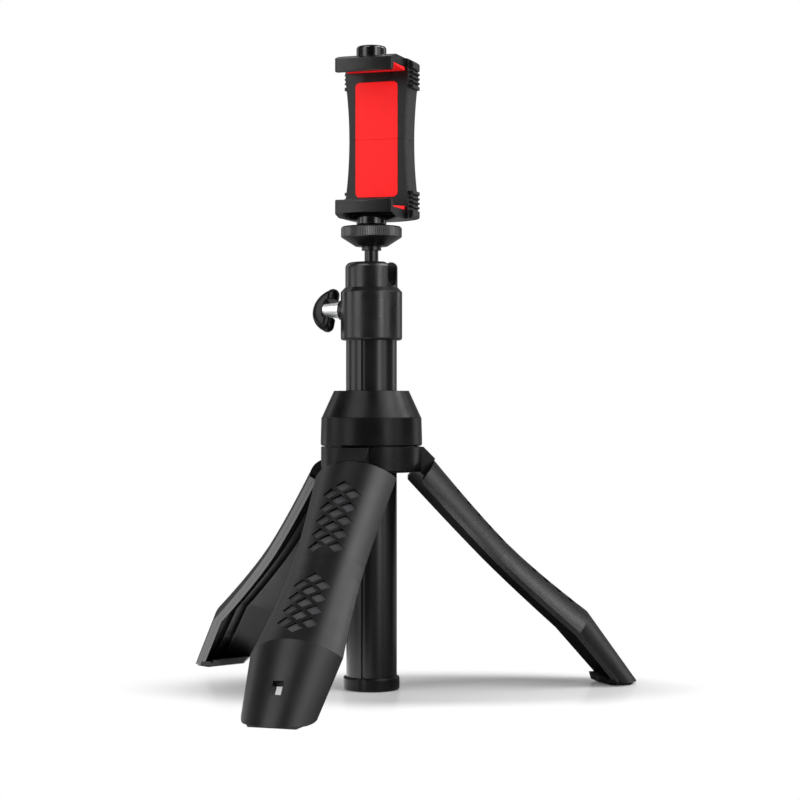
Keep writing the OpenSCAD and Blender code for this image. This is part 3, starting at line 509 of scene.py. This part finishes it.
@dataclass(frozen=True)
class Floor:
    """A pale floor that shows as white, but keeps the part's shadow and a faint reflection round its feet,
    with a painted shadow spot under the part.

    Attributes:
        camera: The camera, whose directions the shaded spot follows.
        half: Half the width of the floor.
        colour: Its sRGB hex colour.
        roughness: Its roughness, low enough to mirror the feet.
        spot_aside: Shift of the shaded spot to the camera's right.
        spot_narrow: How many times wider the spot is than deep.
        spot_edge: Distances from the spot's middle at which the white glow starts and is whole.
        spot_glow: Share of the glow in the middle of the spot.
        spot_white: Strength of that share, so that the lit floor and the glow together come near white.
        side_edge: Distances to the right between which the painted glow that gloss sees turns from dark to
            bright.
        side_gloss: Strength of that painted glow near the part: a painted shade on the camera's right, a
            painted light on its left.
        near_edge: Distances from the column at which that difference starts to fade and is gone.
        far_gloss: What gloss sees of the floor beyond.
    """

    camera: Camera
    half: float = 6.0
    colour: str = "#f6f6f6"
    roughness: float = 0.1
    spot_aside: float = 0.03
    spot_narrow: float = 2.2
    spot_edge: tuple[float, float] = (0.08, 0.2)
    spot_glow: float = 0.02
    spot_white: float = 1.6
    side_edge: tuple[float, float] = (0.03, -0.05)
    side_gloss: tuple[float, float] = (0.1, 2.0)
    near_edge: tuple[float, float] = (0.12, 0.22)
    far_gloss: float = 0.3

    def spot_fade(
        self, made: bpy.types.Material, place: bpy.types.NodeSocket, across: bpy.types.NodeSocket
    ) -> bpy.types.NodeSocket:
        """Fades the glow out over the shaded spot: a painted shadow, darker than the open floor even where
        nothing shades it, in which the lamps' own shadow of the part also shows.

        Args:
            made: The floor's material.
            place: Object coordinates.
            across: Distance to the camera's right.

        Returns:
            Share of the glow, one outside the spot.
        """
        beside = add_node(made, "ShaderNodeMath", {"operation": "SUBTRACT"}, {0: across, 1: self.spot_aside})
        behind = add_node(
            made,
            "ShaderNodeVectorMath",
            {"operation": "DOT_PRODUCT"},
            {0: place, 1: self.camera.ahead * self.spot_narrow},
        )
        spot = add_node(
            made, "ShaderNodeCombineXYZ", {}, {"X": beside.outputs["Value"], "Y": behind.outputs["Value"]}
        )
        far = add_node(made, "ShaderNodeVectorMath", {"operation": "LENGTH"}, {0: spot.outputs["Vector"]})
        fade = add_node(
            made,
            "ShaderNodeMapRange",
            {"interpolation_type": "SMOOTHSTEP"},
            {
                "Value": far.outputs["Value"],
                "From Min": self.spot_edge[0],
                "From Max": self.spot_edge[1],
                "To Min": self.spot_glow,
                "To Max": 1.0,
            },
        )
        return fade.outputs["Result"]

    def painted_floor_reflection(
        self, made: bpy.types.Material, place: bpy.types.NodeSocket, across: bpy.types.NodeSocket
    ) -> bpy.types.NodeSocket:
        """Paints what gloss sees of the floor: a glow, bright on the left near the part and darker on the
        right, a painted reflection in place of the lit floor.

        Args:
            made: The floor's material.
            place: Object coordinates.
            across: Distance to the camera's right.

        Returns:
            Strength of the glow.
        """
        ring = add_node(made, "ShaderNodeVectorMath", {"operation": "LENGTH"}, {0: place})
        side = add_node(
            made,
            "ShaderNodeMapRange",
            {"interpolation_type": "SMOOTHSTEP"},
            {
                "Value": across,
                "From Min": self.side_edge[0],
                "From Max": self.side_edge[1],
                "To Min": self.side_gloss[0],
                "To Max": self.side_gloss[1],
            },
        )
        beyond = add_node(
            made,
            "ShaderNodeMapRange",
            {"interpolation_type": "SMOOTHSTEP"},
            {"Value": ring.outputs["Value"], "From Min": self.near_edge[0], "From Max": self.near_edge[1]},
        )
        sight = add_node(
            made,
            "ShaderNodeMix",
            {"data_type": "FLOAT"},
            {"Factor": beyond.outputs["Result"], "A": side.outputs["Result"], "B": self.far_gloss},
        )
        return sight.outputs["Result"]

    def material(self) -> bpy.types.Material:
        """Mixes the lit paint with the glow that the camera and gloss see.

        Returns:
            The floor's material.
        """
        made = new_material("white studio floor")
        eye, shiny = ray_kinds(made)
        place = add_node(made, "ShaderNodeTexCoord").outputs["Object"]
        across = add_node(
            made, "ShaderNodeVectorMath", {"operation": "DOT_PRODUCT"}, {0: place, 1: self.camera.right}
        ).outputs["Value"]
        # Painted shadow: the white glow fades out in a spot under the part
        fade = self.spot_fade(made, place, across)
        share = add_node(
            made,
            "ShaderNodeMix",
            {"data_type": "FLOAT"},
            {"Factor": eye, "A": shiny, "B": fade},
        )
        paint = add_node(
            made,
            "ShaderNodeBsdfPrincipled",
            {},
            {"Base Color": linear(self.colour), "Roughness": self.roughness},
        )
        white = add_node(
            made,
            "ShaderNodeMapRange",
            {},
            {
                "Value": fade,
                "From Min": self.spot_glow,
                "From Max": 1.0,
                "To Min": self.spot_white,
                "To Max": 1.0,
            },
        )
        # Gloss sees only the glow, whose strength near the part is a painted reflection
        strength = add_node(
            made,
            "ShaderNodeMix",
            {"data_type": "FLOAT"},
            {"Factor": eye, "A": self.painted_floor_reflection(made, place, across), "B": white.outputs["Result"]},
        )
        glow = add_node(made, "ShaderNodeEmission", {}, {"Strength": strength.outputs["Result"]})
        mixed = add_node(
            made,
            "ShaderNodeMixShader",
            {},
            {"Fac": share.outputs["Result"], 1: paint.outputs["BSDF"], 2: glow.outputs["Emission"]},
        )
        add_node(made, "ShaderNodeOutputMaterial", {}, {"Surface": mixed.outputs["Shader"]})
        return made

    def build(self) -> None:
        """Lays the floor."""
        mesh = bmesh.new()
        bmesh.ops.create_grid(mesh, x_segments=1, y_segments=1, size=self.half)
        data = bpy.data.meshes.new("floor")
        mesh.to_mesh(data)
        mesh.free()
        floor = bpy.data.objects.new("floor", data)
        bpy.context.scene.collection.objects.link(floor)
        data.materials.append(self.material())


@dataclass(frozen=True)
class Room:
    """A white backdrop to the eye, a paler one to gloss where it hangs, and a soft room light to the part.

    Attributes:
        camera: The camera, which looks at the backdrop.
        light: Strength of the room light.
        gloss: What gloss sees of the room, away from the backdrop and in its middle.
        backdrop_edge: Cosines of the angle from its middle at which the backdrop starts and is whole.
    """

    camera: Camera
    light: float = 0.04
    gloss: tuple[float, float] = (0.02, 0.25)
    backdrop_edge: tuple[float, float] = (0.3, 1.0)

    def build(self) -> None:
        """Makes the world."""
        world = bpy.data.worlds.new("studio")
        bpy.context.scene.world = world
        world.use_nodes = True
        world.node_tree.nodes.clear()
        eye, shiny = ray_kinds(world)
        way = add_node(world, "ShaderNodeTexCoord").outputs["Generated"]
        toward = add_node(
            world, "ShaderNodeVectorMath", {"operation": "DOT_PRODUCT"}, {0: way, 1: self.camera.ahead}
        )
        backdrop = add_node(
            world,
            "ShaderNodeMapRange",
            {"interpolation_type": "SMOOTHSTEP"},
            {
                "Value": toward.outputs["Value"],
                "From Min": self.backdrop_edge[0],
                "From Max": self.backdrop_edge[1],
                "To Min": self.gloss[0],
                "To Max": self.gloss[1],
            },
        )
        room = add_node(
            world,
            "ShaderNodeMix",
            {"data_type": "FLOAT"},
            {"Factor": shiny, "A": self.light, "B": backdrop.outputs["Result"]},
        )
        seen = add_node(
            world,
            "ShaderNodeMix",
            {"data_type": "FLOAT"},
            {"Factor": eye, "A": room.outputs["Result"], "B": 1.0},
        )
        light = add_node(
            world, "ShaderNodeBackground", {}, {"Color": (1, 1, 1, 1), "Strength": seen.outputs["Result"]}
        )
        add_node(world, "ShaderNodeOutputWorld", {}, {"Surface": light.outputs["Background"]})


@dataclass(frozen=True)
class Studio:
    """Camera, floor, room and lamps.

    Attributes:
        camera: The camera that the rest is set up for.
        lamp_aim: The place that the lamps face.
    """

    camera: Camera = Camera()
    lamp_aim: tuple[float, float, float] = (0.0, 0.0, 0.2)

    def build(self) -> None:
        """Makes the whole studio."""
        self.camera.build()
        Floor(self.camera).build()
        Room(self.camera).build()
        for lamp in LAMPS:
            lamp.hang(self.camera.turn, self.lamp_aim)
        bpy.context.scene.view_settings.view_transform = "Standard"


def dress(finish: Finish, *nodes: str) -> None:
    """Gives nodes of the part their finish.

    Args:
        finish: Surface to give.
        nodes: Names of nodes.
    """
    for name in nodes:
        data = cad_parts[name].data
        data.materials.clear()
        data.materials.append(finish.material())
    log.info("%s on %d nodes", finish.name, len(nodes))


@dataclass(frozen=True)
class Patches:
    """The nearly flat patches of one kind on a node, which have a finish of their own.

    Attributes:
        finish: Finish of the patches.
        rise: Least and most upward share of their normals.
        area_mm2: Least and most area of a patch.
        level_deg: Most turn from one face of a patch to the next.
    """

    finish: Finish
    rise: tuple[float, float]
    area_mm2: tuple[float, float]
    level_deg: float = 20.0

    def grow(self, start: bmesh.types.BMFace, seen: set[bmesh.types.BMFace]) -> list[bmesh.types.BMFace]:
        """Gathers the faces that go on nearly level from one face.

        Args:
            start: The first face.
            seen: Faces met so far, to which the gathered ones are added.

        Returns:
            The faces of the patch.
        """
        seen.add(start)
        patch = [start]
        for face in patch:
            for edge in face.edges:
                if len(edge.link_faces) == 2 and edge.calc_face_angle(0) < math.radians(self.level_deg):
                    fresh = [f for f in edge.link_faces if f not in seen]
                    seen.update(fresh)
                    patch.extend(fresh)
        return patch

    def mark(self, name: str) -> None:
        """Gives these patches of a node their finish.

        Args:
            name: Name of the node.
        """
        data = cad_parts[name].data
        data.materials.append(self.finish.material())
        least, most = (area * MM * MM for area in self.area_mm2)
        mesh = bmesh.new()
        mesh.from_mesh(data)
        seen: set[bmesh.types.BMFace] = set()
        count = 0
        for start in mesh.faces:
            if start in seen or not self.rise[0] <= start.normal.z <= self.rise[1]:
                continue
            patch = self.grow(start, seen)
            if least < sum(f.calc_area() for f in patch) < most:
                count += 1
                for face in patch:
                    data.polygons[face.index].material_index = len(data.materials) - 1
        mesh.free()
        log.info("%s has %d patches of %s", name, count, self.finish.name)


@dataclass
class Legs:
    """Three hinged legs: grained covers over plain frames, on rubber feet.

    Attributes:
        places: Where each leg stands.
        pockets: Floors of the diamond pockets, which look up on a leg that is open, and get a pale finish
            that paints light on them.
        rims: Long faces along both sides of a leg, which look down at a slant, painted paler as lit from the
            floor.
    """

    places: tuple[str, ...] = ("front", "right", "left")
    pockets: Patches = Patches(POCKET_PAINTED_LIGHT, rise=(0.6, 1.0), area_mm2=(12.0, 40.0))
    rims: Patches = Patches(RIM_PAINTED_LIGHT, rise=(-0.65, -0.57), area_mm2=(200.0, 350.0))

    def build(self) -> None:
        """Dresses each leg."""
        for place in self.places:
            cover, inner = "leg_cover_" + place, "leg_frame_" + place
            dress(LEG_NYLON, cover)
            # Painted light on the pocket floors that look up
            self.pockets.mark(cover)
            # Painted light on the cover's long faces that look down
            self.rims.mark(cover)
            dress(FRAME_NYLON, inner)
            # Painted light on the frame's long faces that look down too
            self.rims.mark(inner)
            dress(FOOT_RUBBER, "foot_pad_" + place)


@dataclass
class Hub:
    """Hub, lock collar and the parts inside them."""

    def build(self) -> None:
        """Dresses the hub's nodes."""
        dress(HUB_ABS, "hub_body", "lock_collar")
        dress(DRAWN_STEEL, "hinge_pins", "keeper_screws")
        dress(KEEPER_BLACK, "pin_keepers")
        dress(LINER_ACETAL, "grip_collet")


@dataclass
class Column:
    """Centre column with its foot cap."""

    def build(self) -> None:
        """Dresses the column's nodes."""
        dress(COLUMN_ANODISED, "column_tube")
        dress(HUB_ABS, "column_foot")


@dataclass
class Head:
    """Ball head: sleeve, socket, stud, winged screw and the knurled wheel.

    Attributes:
        knurl_ridges: Number of ridges round the wheel.
        knurl_height: Height of a ridge over the rim of the wheel.
        knurl_sunk: Depth of the grooves below the rim.
        knurl_from_top: Distance of the band from the top of the wheel.
        knurl_width: Width of the band.
        knurl_inward: Depth to which the ends of the band reach into the wheel.
        knurl_smooth_deg: Angle between faces from which an edge of the band is sharp.
    """

    knurl_ridges: int = 96
    knurl_height: float = 0.22 * MM
    knurl_sunk: float = 0.05 * MM
    knurl_from_top: float = 0.7 * MM
    knurl_width: float = 4.2 * MM
    knurl_inward: float = 1.2 * MM
    knurl_smooth_deg: float = 20.0

    def knurl_band(self) -> None:
        """Fine upright ridges round the rim of the wheel, so that a thumb can turn it."""
        low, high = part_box("lock_wheel")
        radius = (high.x - low.x) / 2
        bottom = high.z - self.knurl_from_top - self.knurl_width
        piece = Piece("wheel_knurl")
        ring = bmesh.ops.create_circle(
            piece.mesh, cap_ends=False, segments=2 * self.knurl_ridges, radius=radius - self.knurl_sunk
        )["verts"]
        bmesh.ops.translate(piece.mesh, verts=ring, vec=(0, 0, bottom))
        edges = list(piece.mesh.edges)
        raised = bmesh.ops.extrude_edge_only(piece.mesh, edges=edges)["geom"]
        upper = [v for v in raised if isinstance(v, bmesh.types.BMVert)]
        bmesh.ops.translate(piece.mesh, verts=upper, vec=(0, 0, self.knurl_width))
        step = math.pi / self.knurl_ridges
        for vert in piece.mesh.verts:
            turn = round(math.atan2(vert.co.y, vert.co.x) / step)
            if turn % 2:
                vert.co.xy *= (radius + self.knurl_height) / radius
        inner = bmesh.ops.extrude_edge_only(
            piece.mesh, edges=[e for e in piece.mesh.edges if e.is_boundary]
        )["geom"]
        for vert in inner:
            if isinstance(vert, bmesh.types.BMVert):
                vert.co.xy *= (radius - self.knurl_inward) / vert.co.xy.length
        # The band is painted paler: a painted highlight on the knurl
        piece.finish(KNURL_PAINTED_HIGHLIGHT, "head_metal", "wheel", smooth_deg=self.knurl_smooth_deg)

    def build(self) -> None:
        """Dresses the head's nodes and adds its fine pieces."""
        dress(HEAD_ENAMEL, "head_sleeve", "sleeve_ring", "head_socket", "ball_stud", "lock_wheel")
        dress(LINER_ACETAL, "ball_cup")
        dress(PLUG_ALUMINIUM, "lift_plug")
        dress(SHANK_CHROME, "clamp_screw")
        dress(WING_ABS, "screw_wing")
        self.knurl_band()


@dataclass
class PhoneClamp:
    """Sprung clamp: two jaws with hooks, red front, ribbed back covers, rods and springs.

    Attributes:
        coil_turns: Turns of wire in a spring.
        coil_outside: Outer radius of a spring.
        wire_radius: Radius of the wire.
        wire_sides: Sides of the wire's outline.
        steps_per_turn: Steps in which a turn is wound.
    """

    coil_turns: int = 22
    coil_outside: float = 2.1 * MM
    wire_radius: float = 0.25 * MM
    wire_sides: int = 8
    steps_per_turn: int = 14

    def springs(self) -> None:
        """Winds the two coil springs between the cross pins."""
        low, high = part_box("clamp_springs")
        coil_radius = self.coil_outside - self.wire_radius
        middle_y = (low.y + high.y) / 2
        half_way = (high.x - low.x) / 2 - self.coil_outside
        piece = Piece("clamp_spring_coils")
        rise = (high.z - low.z - 2 * self.wire_radius) / (self.coil_turns * self.steps_per_turn)
        for side in (-1, 1):
            centre = Vector((side * half_way, middle_y, 0))
            ring = bmesh.ops.create_circle(
                piece.mesh, cap_ends=True, segments=self.wire_sides, radius=self.wire_radius
            )["verts"]
            bmesh.ops.rotate(piece.mesh, verts=ring, matrix=Matrix.Rotation(math.pi / 2, 3, "X"))
            start = centre + Vector((coil_radius, 0, low.z + self.wire_radius))
            bmesh.ops.translate(piece.mesh, verts=ring, vec=start)
            ring_edges = list({e for v in ring for e in v.link_edges})
            bmesh.ops.spin(
                piece.mesh,
                geom=ring + ring_edges + list({f for v in ring for f in v.link_faces}),
                cent=centre,
                axis=(0, 0, 1),
                dvec=(0, 0, rise),
                angle=2 * math.pi * self.coil_turns,
                steps=self.coil_turns * self.steps_per_turn,
                use_duplicate=False,
            )
        made = piece.finish(DRAWN_STEEL, "steel", replaces=("clamp_springs",))
        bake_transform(made)

    def build(self) -> None:
        """Dresses both halves and winds the springs."""
        for half in Half:
            name = half.value
            dress(CLAMP_NYLON, name + "_frame")
            dress(COVER_NYLON, name + "_back")
            dress(PANEL_RED, name + "_panel")
            dress(PAD_RED, name + "_pad")
            dress(BOSS_GLOSS, name + "_boss")
            dress(DRAWN_STEEL, name + "_screws", name + "_spring_pin")
        dress(DRAWN_STEEL, "guide_rods", "clamp_springs")
        self.springs()


def main() -> None:
    """Builds the studio and dresses the part, one sub-assembly after another."""
    logging.basicConfig(level=logging.INFO, format="%(message)s")
    for part in (Studio(), Legs(), Hub(), Column(), Head(), PhoneClamp()):
        part.build()
        log.info("%s done", type(part).__name__)


if __name__ == "__main__":
    main()
